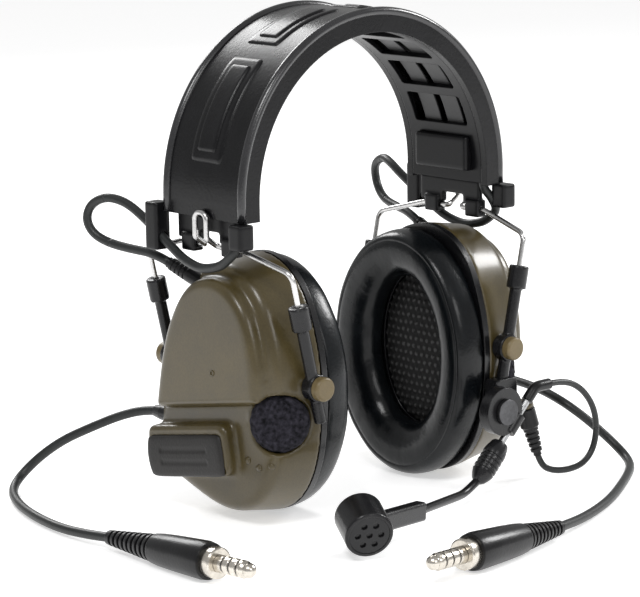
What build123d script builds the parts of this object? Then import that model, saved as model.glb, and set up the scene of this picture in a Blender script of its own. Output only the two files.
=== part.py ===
from build123d import *

# Folding ear-defender headset with radio leads: two cups on wire forks under an arched headband.
#
# Millimetres. +Z up, +X the wearer's left, -Y the front. The floor under the cups is Z = 0.
# Each paired piece is drawn on the left (+X) side and mirrored about the YZ plane for the right.
# The drawing has the headband over Y = 0. The last lines move every piece so that the stored
# origin is under the middle of the headset's own box, measured without its cords and plugs.

import math
import os

os.makedirs("parts", exist_ok=True)

# ---------------------------------------------------------------- driving dimensions
# headband
band_radius = 74.0        # outer radius of the arch
band_crown = 135.0        # height of the arch's centre
band_foot = 128.0         # height where the cover ends
band_width = 50.0
cover_skin = 2.5
rail_width = 3.5
band_depth = 9.0          # cover's outer face to the inner edge of its rails
frame_thick = 2.0
rung_count = 9
rung_width = 5.0
strip_width = 10.0
strip_thick = 0.8
block_width = 32.0        # inner block at the foot of each leg
block_thick = 4.2
block_height = 15.0
# fork wires, arms and pivots
wire_radius = 1.2
hinge_x = 70.0
hinge_z = 116.0
yoke_half = 17.0
ear_inner = 8.5
ear_radius = 3.2
arm_y = 46.0
arm_lean = 12.8           # degrees
arm_foot_x = 52.5
arm_foot_z = 46.0
sleeve_radius = 2.6
sleeve_length = 44.0
barrel_radius = 4.3
barrel_length = 10.0
wire_in_sleeve = 30.0
bend_z = 109.0
tongue_half = 3.65
tongue_top = 130.5
pivot_x = 55.0
pivot_z = 61.0
pin_radius = 2.4
button_radius = 5.0
button_length = 3.8
boss_radius = 5.6
boss_inner_y = 43.1
boss_outer_y = 48.8
# cups
cushion_face_x = 31.0
plate_x = 45.5
shell_x = 48.5
flank_x = 71.0
plateau_x = 78.0
flank_draft = 3.6
plateau_inset = 8.0
cup_middle_y = -2.0
cup_middle_z = 56.0
shell_wall = 2.2
cushion_half_width = 42.0
cushion_half_height = 54.5
cushion_round = 5.5
opening_half_width = 21.5
opening_half_height = 33.0
slope = -10.0             # degrees: the battery bay and the step run down towards the rear
step_rise = 20.0          # from the bay's middle up to the step under the plateau
# battery bay, in the sloping frame
cell_radius = 5.25
cell_length = 44.5
bay_along = 13.5
bay_z = 29.0
cell_x = 68.2
bay_face_x = 76.8
door_height = 15.0
door_length = 45.5
door_thick = 2.4
door_pin_radius = 0.6
# foam microphones
foam_radius = 12.2
foam_x = 64.5
foam_y = -34.5
foam_z = 46.0
foam_depth = 6.8
# keys
key_width = 9.0
key_height = 8.0
key_pitch = 12.0
key_z = 74.0
key_y = -1.0
key_travel = 1.0
# boom
swivel_x = 43.5
swivel_z = 36.0
boom_y = -55.2
boom_offset = 9.3         # swivel axis to rod
rod_radius = 1.6
neck_radius = 1.8
mic_radius = 10.0
mic_depth = 17.0
mic_centre = Vector(-65, -85, 13)
mic_face = Vector(-0.42, -0.86, -0.29)
# leads and plugs
lead_radius = 2.0
link_radius = 1.95
boom_cord_radius = 1.4
gland_radius = 3.3
plug_pin_radius = 3.55
plug_nose_radius = 3.0    # the boom's plug
socket_radius = 4.2
plug_pin_length = 20.0
handle_radius = 8.2
collar_radius = 6.2
# fits
running = 0.05            # radial clearance of a turning or sliding fit
gap = 0.3                 # clearance between pieces that only pass each other


pieces = {}


def save(piece, name):
    """Keep a finished piece under its name."""
    piece.label = name
    pieces[name] = piece


def save_pair(piece, name):
    """Keep the left piece and its mirror image on the right."""
    save(piece, f"{name}_left")
    save(mirror(piece, about=Plane.YZ), f"{name}_right")


def arch(outer, inner, foot):
    """A horseshoe between two radii, down to a foot, in an XZ sketch."""
    with BuildLine() as line:
        Line((-outer, foot), (-outer, band_crown))
        ThreePointArc((-outer, band_crown), (0, band_crown + outer), (outer, band_crown))
        Line((outer, band_crown), (outer, foot))
        Line((outer, foot), (inner, foot))
        Line((inner, foot), (inner, band_crown))
        ThreePointArc((inner, band_crown), (0, band_crown + inner), (-inner, band_crown))
        Line((-inner, band_crown), (-inner, foot))
        Line((-inner, foot), (-outer, foot))
    make_face(line.edges())


def oval(half_width, half_height):
    """An upright ellipse round the middle of the cup, in a YZ sketch."""
    with Locations((0, cup_middle_z)):
        Ellipse(half_width, half_height)


def route(points):
    """Straight runs and tangent arcs, each arc as large as its two runs allow."""
    spots = [Vector(*p) for p in points]
    runs = [(b - a).length for a, b in zip(spots, spots[1:])]
    radii = []
    for i in range(1, len(spots) - 1):
        turn = (spots[i] - spots[i - 1]).get_angle(spots[i + 1] - spots[i])
        radii.append(0.45 * min(runs[i - 1], runs[i]) / math.tan(math.radians(turn / 2)))
    return FilletPolyline(*spots, radius=radii), radii


def tube(points, radius, name):
    """A round cord along a route. Prints its radii, and its volume against section times length."""
    with BuildPart() as cord:
        with BuildLine() as line:
            radii = route(points)[1]
        start = Vector(*points[0])
        heading = Vector(*points[1]) - start
        with BuildSketch(Plane(origin=start, z_dir=heading)):
            Circle(radius)
        sweep(path=line.wire())
    length = line.wire().length
    share = cord.part.volume / (math.pi * radius**2 * length)
    print(f"{name}: length {length:.1f}, volume share {share:.4f}, smallest radius {min(radii):.1f},",
          "radii", " ".join(f"{r:.0f}" for r in radii))
    return cord.part


# ---------------------------------------------------------------- headband
with BuildPart() as headband_cover:
    with BuildSketch(Plane.XZ):
        arch(band_radius, band_radius - band_depth, band_foot)
    extrude(amount=band_width / 2, both=True)
    with BuildSketch(Plane.XZ):
        arch(band_radius - cover_skin, band_radius - band_depth - 1, band_foot - 1)
    extrude(amount=band_width / 2 - rail_width, both=True, mode=Mode.SUBTRACT)
    crown_edges = headband_cover.edges().filter_by(GeomType.CIRCLE)
    fillet(crown_edges.group_by(SortBy.LENGTH)[-1], radius=1.2)
save(headband_cover.part, "headband_cover")

frame_outer = band_radius - band_depth + frame_thick
frame_half = band_width / 2 - rail_width - 0.1
with BuildPart() as headband_frame:
    with BuildSketch(Plane.XZ):
        arch(frame_outer, frame_outer - frame_thick, band_foot + 1)
    extrude(amount=frame_half, both=True)
    rung_pitch = 150 / rung_count
    window = 2 * math.radians(rung_pitch / 2) * frame_outer - rung_width
    for n in range(rung_count):
        turn = math.radians((n - (rung_count - 1) / 2) * rung_pitch)
        outward = (math.sin(turn), 0, math.cos(turn))
        at = Plane(origin=(0, 0, band_crown), x_dir=(0, 1, 0), z_dir=outward)
        with BuildSketch(at.offset(frame_outer - 2 * frame_thick)):
            RectangleRounded(2 * frame_half - 10, window, 1.5)
        extrude(amount=4 * frame_thick, mode=Mode.SUBTRACT)
save(headband_frame.part, "headband_frame")

strip_inner = frame_outer + 0.1
with BuildPart() as spring_strips:
    for near in (-2 - strip_width, 2):
        with BuildSketch(Plane.XZ.offset(near)):
            arch(strip_inner + strip_thick, strip_inner, band_foot + 5)
        extrude(amount=strip_width)
save(spring_strips.part, "spring_strips")

with BuildPart() as inner_block:
    with BuildSketch(Plane.XY.offset(band_foot + 6)):
        with Locations((band_radius - band_depth - block_thick / 2 + 0.5, 0)):
            Rectangle(block_thick + 1, block_width)
    extrude(amount=block_height)
    with BuildSketch(Plane.XZ):
        arch(band_radius, frame_outer - frame_thick, band_foot)
    extrude(amount=band_width, both=True, mode=Mode.SUBTRACT)
    fillet(inner_block.faces().sort_by(Axis.X)[0].edges(), radius=1.2)
    mirror(about=Plane.YZ)
save(inner_block.part, "inner_blocks")

# a yoke closes each end of the headband and carries the fork wire in two ears
with BuildPart() as yokes:
    with BuildSketch(Plane.XY.offset(hinge_z + 1.6)):
        with Locations((hinge_x, 2)):
            Rectangle(2.7, 2 * yoke_half + 3)
    extrude(amount=band_foot + 0.9 - hinge_z - 1.6)
    with BuildSketch(Plane.XY.offset(hinge_z - 1)):
        with Locations((hinge_x, 0)):
            Rectangle(10, 2 * tongue_half + 5)
    extrude(amount=7, mode=Mode.SUBTRACT)
    for side in (-1, 1):
        with BuildSketch(Plane.XY.offset(hinge_z - ear_radius)):
            with Locations((hinge_x, side * (ear_inner + yoke_half) / 2)):
                RectangleRounded(2 * ear_radius - 0.8, yoke_half - ear_inner, 1)
        extrude(amount=2 * ear_radius + 1)
    with BuildSketch(Plane.XZ):
        with Locations((hinge_x, hinge_z)):
            Circle(wire_radius + running)
    extrude(amount=yoke_half + 1, both=True, mode=Mode.SUBTRACT)
    mirror(about=Plane.YZ)
save(yokes.part, "yokes")

# ---------------------------------------------------------------- fork wires, arms and pivots
lean = math.radians(arm_lean)
arm_up = Vector(math.sin(lean), 0, math.cos(lean))
barrel_top = sleeve_length + 7
wire_end = barrel_top - wire_in_sleeve
tongue_x = band_radius + wire_radius + 0.5


def on_arm(y, along):
    """A point on the arm's line, that far up from its foot."""
    return Vector(arm_foot_x, y, arm_foot_z) + arm_up * along


# the wire runs from the front arm, over the hinge with its latch tongue, to the rear arm
half_fork = [
    on_arm(-arm_y, wire_end),
    on_arm(-arm_y, (bend_z - arm_foot_z) / math.cos(lean)),
    Vector(hinge_x, -yoke_half - 2, hinge_z),
    Vector(hinge_x, -tongue_half, hinge_z),
    Vector(tongue_x, -tongue_half, hinge_z + 4),
    Vector(tongue_x, -tongue_half, tongue_top),
]
fork_points = half_fork + [Vector(p.X, -p.Y, p.Z) for p in reversed(half_fork)]
with BuildPart() as fork_wire:
    with BuildLine() as fork_line:
        FilletPolyline(*fork_points, radius=[5, 4, 2, 2, 3.2, 3.2, 2, 2, 4, 5])
    with BuildSketch(Plane(origin=fork_points[0], z_dir=arm_up)):
        Circle(wire_radius)
    sweep(path=fork_line.wire())
save_pair(fork_wire.part, "fork_wire")

with BuildPart() as arms:
    for side in (-1, 1):
        y = side * arm_y
        with BuildSketch(Plane(origin=on_arm(y, 0), z_dir=arm_up)):
            Circle(sleeve_radius)
        extrude(amount=sleeve_length)
        with BuildSketch(Plane(origin=on_arm(y, barrel_top - barrel_length), z_dir=arm_up)):
            Circle(barrel_radius)
        extrude(amount=barrel_length)
        with BuildSketch(Plane.XZ.offset(-side * boss_inner_y)):
            with Locations((pivot_x, pivot_z)):
                Circle(boss_radius)
        extrude(amount=-side * (boss_outer_y - boss_inner_y))
        with BuildSketch(Plane(origin=on_arm(y, wire_end - 1), z_dir=arm_up)):
            Circle(wire_radius + running)
        extrude(amount=wire_in_sleeve + 2, mode=Mode.SUBTRACT)
    fillet(arms.edges().filter_by(GeomType.CIRCLE).group_by(Axis.Z)[-1], radius=0.6)
    with BuildSketch(Plane.XZ):
        with Locations((pivot_x, pivot_z)):
            Circle(pin_radius + running)
    extrude(amount=60, both=True, mode=Mode.SUBTRACT)
save_pair(arms.part, "arms")

pin_inner_y = 36.0
with BuildPart() as pivot_buttons:
    for side in (-1, 1):
        with BuildSketch(Plane.XZ.offset(-side * pin_inner_y)):
            with Locations((pivot_x, pivot_z)):
                Circle(pin_radius)
        extrude(amount=-side * (boss_outer_y + 0.1 - pin_inner_y))
        with BuildSketch(Plane.XZ.offset(-side * (boss_outer_y + 0.1))):
            with Locations((pivot_x, pivot_z)):
                Circle(button_radius)
        extrude(amount=-side * button_length)
    fillet(pivot_buttons.faces().sort_by(Axis.Y)[0].edges(), radius=1.2)
    fillet(pivot_buttons.faces().sort_by(Axis.Y)[-1].edges(), radius=1.2)
save_pair(pivot_buttons.part, "pivot_buttons")

# ---------------------------------------------------------------- cups
shell_outline = [
    (-5, 112), (-20, 109), (-31, 100), (-38.5, 85), (-42.8, 66), (-42.6, 44), (-37.5, 22), (-26, 7.5),
    (-10, 1.6), (6, 3), (22, 8), (34, 14), (39.5, 27), (39, 45), (36.5, 62), (31, 80), (21, 97), (8, 108.5),
]
tilt = math.radians(slope)
bay_plane = Plane(origin=(0, cup_middle_y, bay_z), x_dir=(0, math.cos(tilt), math.sin(tilt)), z_dir=(1, 0, 0))
recess_floor = bay_face_x - 0.1 - door_thick - 0.2
door_axis_x = bay_face_x - 0.1 - door_thick / 2
door_axis_rise = -(door_height - door_thick) / 2
gland = Vector(66, 33, 38)
relief_foot = Vector(67.5, 5, 97.5)
relief_tip = Vector(72, 26, 106)
relief_way = relief_tip - relief_foot
plug_mouth = Vector(71, -42.5, 30)
plug_end = Vector(75.1, -46, 9.5)
plug_way = (plug_end - plug_mouth).normalized()
plug_root = Vector(65, -34, 28)


def outline(inset):
    """The cup's side outline, moved in by inset, in a YZ sketch."""
    points = []
    for y, z in shell_outline:
        out = Vector(y - cup_middle_y, z - cup_middle_z).normalized()
        points.append(Vector(y, z) - out * inset)
    with BuildLine() as line:
        Spline(*points, periodic=True)
    make_face(line.edges())


def shell(left):
    """The hard cup. The left one also has the key holes and the boom lead's socket."""
    with BuildPart() as cup:
        with BuildSketch(Plane.YZ.offset(shell_x)):
            outline(0)
        with BuildSketch(Plane.YZ.offset(flank_x)):
            outline(flank_draft)
        loft()
        fillet(cup.faces().sort_by(Axis.X)[-1].edges(), radius=5)
        with BuildPart(mode=Mode.PRIVATE) as plateau:
            with BuildSketch(Plane.YZ.offset(flank_x - 3)):
                outline(plateau_inset)
            extrude(amount=plateau_x - flank_x + 3)
            with BuildSketch(bay_plane.offset(flank_x - 4)):
                with Locations((0, step_rise - 100)):
                    Rectangle(300, 200)
            extrude(amount=30, mode=Mode.SUBTRACT)
            fillet(plateau.faces().sort_by(Axis.X)[-1].edges(), radius=4)
        add(plateau.part)
        with BuildPart(mode=Mode.PRIVATE) as bay:
            with BuildSketch(bay_plane.offset(56)):
                with Locations((bay_along, 1.5)):
                    RectangleRounded(door_length + 7, door_height + 7, 4)
            extrude(amount=bay_face_x - 56)
            fillet(bay.faces().sort_by(Axis.X)[-1].edges(), radius=2)
        add(bay.part)
        # hollow, leaving the bay's own block
        with BuildPart(mode=Mode.PRIVATE) as hollow:
            with BuildSketch(Plane.YZ.offset(shell_x)):
                outline(shell_wall)
            with BuildSketch(Plane.YZ.offset(flank_x - shell_wall - 2)):
                outline(shell_wall + flank_draft + 3)
            loft()
            with BuildPart(mode=Mode.PRIVATE) as upper:
                with BuildSketch(Plane.YZ.offset(flank_x - shell_wall - 4)):
                    outline(plateau_inset + shell_wall + 1)
                extrude(amount=plateau_x - flank_x + 4)
                with BuildSketch(bay_plane.offset(flank_x - 8)):
                    with Locations((0, step_rise + shell_wall + 1 - 100)):
                        Rectangle(300, 200)
                extrude(amount=30, mode=Mode.SUBTRACT)
            add(upper.part)
            with BuildSketch(bay_plane.offset(cell_x - cell_radius - 1.8)):
                with Locations((bay_along, 1.5)):
                    Rectangle(door_length + 7, door_height + 7)
            extrude(amount=30, mode=Mode.SUBTRACT)
        add(hollow.part, mode=Mode.SUBTRACT)
        # battery compartment, door recess and hinge pin hole
        with BuildSketch(bay_plane.offset(cell_x - cell_radius - 0.1)):
            with Locations((bay_along, 0)):
                Rectangle(cell_length + 0.6, 2 * cell_radius + 0.4)
        extrude(amount=30, mode=Mode.SUBTRACT)
        with BuildSketch(bay_plane.offset(recess_floor)):
            with Locations((bay_along, 0)):
                Rectangle(door_length + 2 * gap, door_height + 2 * gap)
        extrude(amount=30, mode=Mode.SUBTRACT)
        with BuildSketch(Plane(origin=bay_plane.from_local_coords((bay_along, door_axis_rise, door_axis_x)),
                               z_dir=bay_plane.x_dir)):
            Circle(door_pin_radius)
        extrude(amount=door_length / 2 + 2.5, both=True, mode=Mode.SUBTRACT)
        # lugs for the two pivot pins
        for side in (-1, 1):
            with BuildSketch(Plane.XZ.offset(-side * (pin_inner_y - 1))):
                with Locations((pivot_x, pivot_z)):
                    Circle(pin_radius + 2)
            extrude(amount=-side * (boss_inner_y - 0.2 - pin_inner_y + 1))
            with BuildSketch(Plane.XZ.offset(-side * pin_inner_y)):
                with Locations((pivot_x, pivot_z)):
                    Circle(pin_radius)
            extrude(amount=-side * 20, mode=Mode.SUBTRACT)
        # seat of the foam microphone, facing outwards and forwards
        with BuildSketch(foam_plane.offset(-foam_depth - 1.2)):
            Circle(foam_radius + 1.2)
        extrude(amount=foam_depth - 1.8)
        with BuildSketch(foam_plane.offset(-foam_depth)):
            Circle(foam_radius - 1)
        extrude(amount=20, mode=Mode.SUBTRACT)
        with BuildSketch(foam_plane.offset(-3)):
            Circle(foam_radius + gap)
        extrude(amount=30, mode=Mode.SUBTRACT)
        # holes for the lead's gland and the link cable's strain relief
        with BuildSketch(Plane(origin=gland, z_dir=(0, 1, 0))):
            Circle(gland_radius)
        extrude(amount=20, mode=Mode.SUBTRACT)
        with BuildSketch(Plane(origin=relief_foot, z_dir=relief_way)):
            Circle(relief_radius)
        extrude(amount=20, mode=Mode.SUBTRACT)
        if left:
            with BuildSketch(Plane.YZ.offset(plateau_x - 4)):
                with Locations((key_y, key_z - key_pitch), (key_y, key_z), (key_y, key_z + key_pitch)):
                    RectangleRounded(key_width + 0.3, key_height + 0.3, 1.5)
            extrude(amount=8, mode=Mode.SUBTRACT)
            with BuildSketch(Plane(origin=plug_mouth - plug_way * 4, z_dir=plug_way)):
                Circle(socket_radius)
            extrude(amount=4)
            with BuildSketch(Plane(origin=plug_root, z_dir=plug_mouth - plug_way * 2 - plug_root)):
                Circle(socket_radius - 0.7)
            extrude(amount=(plug_mouth - plug_way * 2 - plug_root).length)
            with BuildSketch(Plane(origin=plug_mouth - plug_way * 3, z_dir=plug_way)):
                Circle(plug_nose_radius)
            extrude(amount=20, mode=Mode.SUBTRACT)
    return cup.part


foam_plane = Plane(origin=(foam_x, foam_y, foam_z), z_dir=(1, -1, 0))
relief_radius = 3.2
save(shell(True), "cup_shell_left")
save(mirror(shell(False), about=Plane.YZ), "cup_shell_right")

# ring behind the cushion, which the cushion and the foam liner seat on
with BuildPart() as ear_plate:
    with BuildSketch(Plane.YZ.offset(plate_x)):
        outline(0.2)
        with Locations((cup_middle_y, cup_middle_z)):
            Ellipse(opening_half_width + 1, opening_half_height + 1, mode=Mode.SUBTRACT)
    extrude(amount=shell_x - plate_x)
save_pair(ear_plate.part, "ear_plate")

with BuildPart() as cushion:
    with BuildSketch(Plane.YZ.offset(cushion_face_x)):
        with Locations((cup_middle_y + 1, cushion_half_height)):
            Ellipse(cushion_half_width, cushion_half_height)
        with Locations((cup_middle_y, cup_middle_z)):
            Ellipse(opening_half_width, opening_half_height, mode=Mode.SUBTRACT)
    extrude(amount=plate_x - cushion_face_x)
    fillet(cushion.faces().sort_by(Axis.X)[0].edges(), radius=cushion_round)
save_pair(cushion.part, "cushion")

with BuildPart() as liner:
    with BuildSketch(Plane.YZ.offset(plate_x)):
        with Locations((cup_middle_y, cup_middle_z)):
            Ellipse(opening_half_width + 1, opening_half_height + 1)
    extrude(amount=shell_x - plate_x)
save_pair(liner.part, "liner")

speaker_radius = 18.0
with BuildPart() as speaker:
    with BuildSketch(Plane.YZ.offset(shell_x)):
        with Locations((cup_middle_y, cup_middle_z)):
            Ellipse(opening_half_width + 5, opening_half_height + 5)
            Circle(speaker_radius - 1.5, mode=Mode.SUBTRACT)
    extrude(amount=1.5)
    with BuildSketch(Plane.YZ.offset(shell_x + 1.5)):
        with Locations((cup_middle_y, cup_middle_z)):
            Circle(speaker_radius)
    extrude(amount=8)
save_pair(speaker.part, "speaker")

board_x = plateau_x - shell_wall - 6
with BuildPart() as board:
    with BuildSketch(Plane.YZ.offset(board_x)):
        with Locations((key_y - 3, key_z)):
            RectangleRounded(24, 34, 1)
    extrude(amount=1.6)
save_pair(board.part, "circuit_board")

cell_start = bay_plane.from_local_coords((bay_along - cell_length / 2, 0, cell_x))
with BuildPart() as cell:
    with BuildSketch(Plane(origin=cell_start, z_dir=bay_plane.x_dir)):
        Circle(cell_radius)
    extrude(amount=cell_length)
save_pair(cell.part, "cell")

with BuildPart() as contacts:
    for side in (-1, 1):
        with BuildSketch(bay_plane.offset(cell_x - 4)):
            with Locations((bay_along + side * (cell_length / 2 + 0.15), 0)):
                Rectangle(0.3, 8)
        extrude(amount=8)
save_pair(contacts.part, "battery_contacts")

door_plane = bay_plane.offset(door_axis_x - door_thick / 2)
with BuildPart() as battery_door:
    with BuildSketch(door_plane):
        with Locations((bay_along, 0)):
            Rectangle(door_length, door_height)
    extrude(amount=door_thick)
    long_edges = battery_door.edges().filter_by(lambda e: e.length > door_length - 1)
    fillet(long_edges.sort_by(Axis.Z)[:2], radius=door_thick / 2 - 0.01)
    with BuildSketch(Plane(origin=bay_plane.from_local_coords((bay_along, door_axis_rise, door_axis_x)),
                           z_dir=bay_plane.x_dir)):
        Circle(door_pin_radius - running)
    extrude(amount=door_length / 2 + 2, both=True)
save_pair(battery_door.part, "battery_door")

with BuildPart() as foam_mic:
    with BuildSketch(foam_plane.offset(-foam_depth)):
        Circle(foam_radius - 1)
    extrude(amount=foam_depth - 3)
    with BuildSketch(foam_plane.offset(-3)):
        Circle(foam_radius)
    extrude(amount=8.5)
    fillet(foam_mic.edges().sort_by(SortBy.DISTANCE)[-1], radius=5)
save_pair(foam_mic.part, "foam_mic")

for n in range(3):
    key_spot = (key_y, key_z + (n - 1) * key_pitch)
    with BuildPart() as key:
        with BuildSketch(Plane.YZ.offset(board_x + 3.9)):
            with Locations(key_spot):
                RectangleRounded(key_width, key_height, 1.4)
        extrude(amount=plateau_x + 1.2 - board_x - 3.9)
        with BuildSketch(Plane.YZ.offset(board_x + 3.9)):
            with Locations(key_spot):
                RectangleRounded(key_width + 2, key_height + 2, 1.4)
        extrude(amount=1.6)
    save(key.part, f"key_{n + 1}")

# ---------------------------------------------------------------- link cable and its clips
relief_tip_radius = 2.6
with BuildPart() as link_relief:
    with BuildSketch(Plane(origin=relief_foot, z_dir=relief_way)):
        Circle(relief_radius)
    with BuildSketch(Plane(origin=relief_tip, z_dir=relief_way)):
        Circle(relief_tip_radius)
    loft()
save_pair(link_relief.part, "link_relief")

loop_end = (75.4, 30, 119.6)
loop_points = [
    relief_tip, relief_tip + relief_way * 0.36, (77, 45, 110), (80, 56, 111.5), (83, 63.5, 115), (84, 67, 121),
    (82.5, 65.5, 127.5), (80.5, 57.5, 131.5), (77, 49, 130), (75.4, 39.5, 125), loop_end,
]
cable_y = -18.5
cable_ring = band_radius - cover_skin - 2.1
cable_points = [
    loop_end, (75.4, 21, 114.5), (75.6, 12, 109.6), (76, 0, 106.8), (76, -13, 109.6), (75.6, -21, 116),
    (72.3, -20.4, 122), (cable_ring, cable_y, 126.2), (cable_ring, cable_y, band_crown),
]
save_pair(tube(loop_points, link_radius, "link_loop"), "link_loop")


def link_path():
    """The cable from the left rear clip, over the arch, to the right rear clip."""
    with BuildLine() as side_line:
        route(cable_points)
    with BuildLine(Plane.XZ.offset(-cable_y)) as crown_line:
        CenterArc((0, band_crown), cable_ring, 0, 180)
    side = side_line.wire()
    return Wire(side.edges() + crown_line.edges() + mirror(side, about=Plane.YZ).edges())


def link_sweep(radius):
    """The cable, or the hole that it runs in."""
    path = link_path()
    with BuildPart() as swept:
        with BuildSketch(Plane(origin=path @ 0, z_dir=path % 0)):
            Circle(radius)
        sweep(path=path)
    return swept.part


link_cable = link_sweep(link_radius)
print("link_cable share", link_cable.volume / (math.pi * link_radius**2 * link_path().length))
save(link_cable, "link_cable")

clip_x = 71.4
with BuildPart() as headband_clips:
    with BuildSketch(Plane.XY.offset(117.6)):
        with Locations((clip_x + 3.9, -25)):
            RectangleRounded(7.8, 8, 1)
    extrude(amount=band_foot - 117.6)
    with BuildSketch(Plane.XY.offset(112)):
        with Locations((clip_x + 3.9, 29)):
            RectangleRounded(7.8, 8, 1)
    extrude(amount=20)
    mirror(about=Plane.YZ)
    add(link_sweep(link_radius + running), mode=Mode.SUBTRACT)
    add(tube(loop_points, link_radius + running, "loop bore"), mode=Mode.SUBTRACT)
    add(mirror(tube(loop_points, link_radius + running, "loop bore"), about=Plane.YZ), mode=Mode.SUBTRACT)
save(headband_clips.part, "headband_clips")

# ---------------------------------------------------------------- leads and their plugs
with BuildPart() as lead_gland:
    with BuildSketch(Plane(origin=gland, z_dir=(0, 1, 0))):
        Circle(gland_radius)
    extrude(amount=7)
    with BuildSketch(Plane(origin=gland + Vector(0, 7, 0), z_dir=(0, 1, 0))):
        Circle(gland_radius)
    with BuildSketch(Plane(origin=gland + Vector(0, 12, 0), z_dir=(0, 1, 0))):
        Circle(lead_radius + 0.6)
    loft()
save_pair(lead_gland.part, "lead_gland")
lead_start = gland + Vector(0, 12, 0)


def plug_body(tail, tip):
    """A plug's boot, handle and collar, turned about its length, with a bore for the pin."""
    way = (tip - tail).normalized()
    body_length = (tip - tail).length - plug_pin_length
    collar_length = 6.0
    handle_length = 30.0
    boot_length = body_length - collar_length - handle_length
    with BuildPart() as plug:
        with BuildSketch(Plane(origin=tail, z_dir=way)):
            Circle(lead_radius + 1.3)
        with BuildSketch(Plane(origin=tail + way * boot_length, z_dir=way)):
            Circle(handle_radius - 1.2)
        loft()
        with BuildSketch(Plane(origin=tail + way * boot_length, z_dir=way)):
            Circle(handle_radius)
        extrude(amount=handle_length)
        with BuildSketch(Plane(origin=tip - way * (plug_pin_length + collar_length), z_dir=way)):
            Circle(collar_radius)
        extrude(amount=collar_length)
        with BuildSketch(Plane(origin=tip - way * (plug_pin_length + 10), z_dir=way)):
            Circle(plug_pin_radius - 1)
        extrude(amount=20, mode=Mode.SUBTRACT)
    return plug.part


def plug_pin(tail, tip):
    """The plug's pin, seated ten millimetres deep, with a rounded point and a waist behind it."""
    way = (tip - tail).normalized()
    with BuildPart() as pin:
        with BuildSketch(Plane(origin=tip - way * (plug_pin_length + 10), z_dir=way)):
            Circle(plug_pin_radius - 1)
        extrude(amount=10)
        with BuildSketch(Plane(origin=tip - way * plug_pin_length, z_dir=way)):
            Circle(plug_pin_radius)
        extrude(amount=plug_pin_length)
        fillet(pin.faces().sort_by(lambda f: (f.center() - tip).length)[0].edges(), radius=2.4)
    return pin.part


left_plug = (Vector(8, -122, 4.5), Vector(-75, -132.5, 8.8))
right_plug = (Vector(-130, -5, 4.5), Vector(-129.3, -93, 8.8))
left_lead_points = [
    lead_start, (67, 54, 37.6), (75, 65, 35.5), (91, 66, 32.5), (103, 51, 30.5), (109, 30, 30),
    (110.5, 8, 30), (109, -13, 29), (107, -30, 26), (111, -39, 20), (116, -46, 13), (118, -53, 7.5),
    (117, -60.5, 3.6), (112, -67.5, 2.2), (102, -76, 2.2), (84, -88, 2.2), (60, -102.5, 2.2), (33, -113.5, 2.3), left_plug[0],
]
right_lead_points = [
    (-lead_start.X, lead_start.Y, lead_start.Z), (-67, 52, 37.4), (-73.5, 61, 34.5), (-81.5, 71, 29),
    (-87.5, 83, 22.5), (-92.5, 92.5, 15), (-98, 97, 8.5), (-104, 96.5, 4.2), (-110, 91, 2.3),
    (-117, 80, 2.2), (-124, 64, 2.2), (-129, 45, 2.2), (-131.5, 26, 2.3), (-131, 9.5, 3.2), right_plug[0],
]
save(tube(left_lead_points, lead_radius, "lead_left"), "lead_left")
save(tube(right_lead_points, lead_radius, "lead_right"), "lead_right")
for name, (tail, tip) in (("left", left_plug), ("right", right_plug)):
    save(plug_body(tail, tip), f"plug_body_{name}")
    save(plug_pin(tail, tip), f"plug_pin_{name}")

# ---------------------------------------------------------------- boom microphone
swivel = Vector(swivel_x, 0, swivel_z)
axle_radius = 3.4
washer_y = -50.2
screw_radius = 5.6
boom_travel = 4.0
with BuildPart() as boom_clamp:
    with BuildSketch(Plane.XZ.offset(boss_inner_y)):
        with Locations((51.5, 42)):
            RectangleRounded(13, 12, 2)
    extrude(amount=-washer_y - boss_inner_y)
    with BuildSketch(Plane(origin=on_arm(-arm_y, -8), z_dir=arm_up)):
        Circle(sleeve_radius)
    extrude(amount=40, mode=Mode.SUBTRACT)
    with BuildSketch(foam_plane.offset(-14)):
        Circle(foam_radius + 3)
    extrude(amount=40, mode=Mode.SUBTRACT)
    with BuildSketch(Plane.XZ.offset(-washer_y)):
        with Locations((swivel_x, swivel_z)):
            Circle(9)
    extrude(amount=1.4)
    with BuildSketch(Plane.XZ.offset(-washer_y + 1.4)):
        with Locations((swivel_x, swivel_z)):
            Circle(axle_radius)
    extrude(amount=6.0)
save(boom_clamp.part, "boom_clamp")

holder_outer = 10.4
with BuildPart() as boom_screw:
    with BuildSketch(Plane.XZ.offset(-washer_y + 7.4)):
        with Locations((swivel_x, swivel_z)):
            Circle(screw_radius)
    extrude(amount=1.8)
save(boom_screw.part, "boom_screw")

slide_way = Vector(-1, 0, -1).normalized()
rod_foot = Vector(swivel_x, boom_y, swivel_z) + Vector(1, 0, -1).normalized() * boom_offset
sleeve_half = 4.5
with BuildPart() as boom_holder:
    with BuildSketch(Plane.XZ.offset(-washer_y + 1.6)):
        with Locations((swivel_x, swivel_z)):
            Circle(holder_outer)
    extrude(amount=5.4)
    with BuildSketch(Plane(origin=rod_foot - slide_way * sleeve_half, z_dir=slide_way)):
        Circle(rod_radius + 1.7)
    extrude(amount=2 * sleeve_half)
    with BuildSketch(Plane.XZ.offset(-washer_y)):
        with Locations((swivel_x, swivel_z)):
            Circle(axle_radius + running)
    extrude(amount=20, mode=Mode.SUBTRACT)
    with BuildSketch(Plane.XZ.offset(-washer_y + 7)):
        with Locations((swivel_x, swivel_z)):
            Circle(screw_radius + gap)
    extrude(amount=10, mode=Mode.SUBTRACT)
    with BuildSketch(Plane(origin=rod_foot - slide_way * 20, z_dir=slide_way)):
        Circle(rod_radius + running)
    extrude(amount=40, mode=Mode.SUBTRACT)
save(boom_holder.part, "boom_holder")

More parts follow.
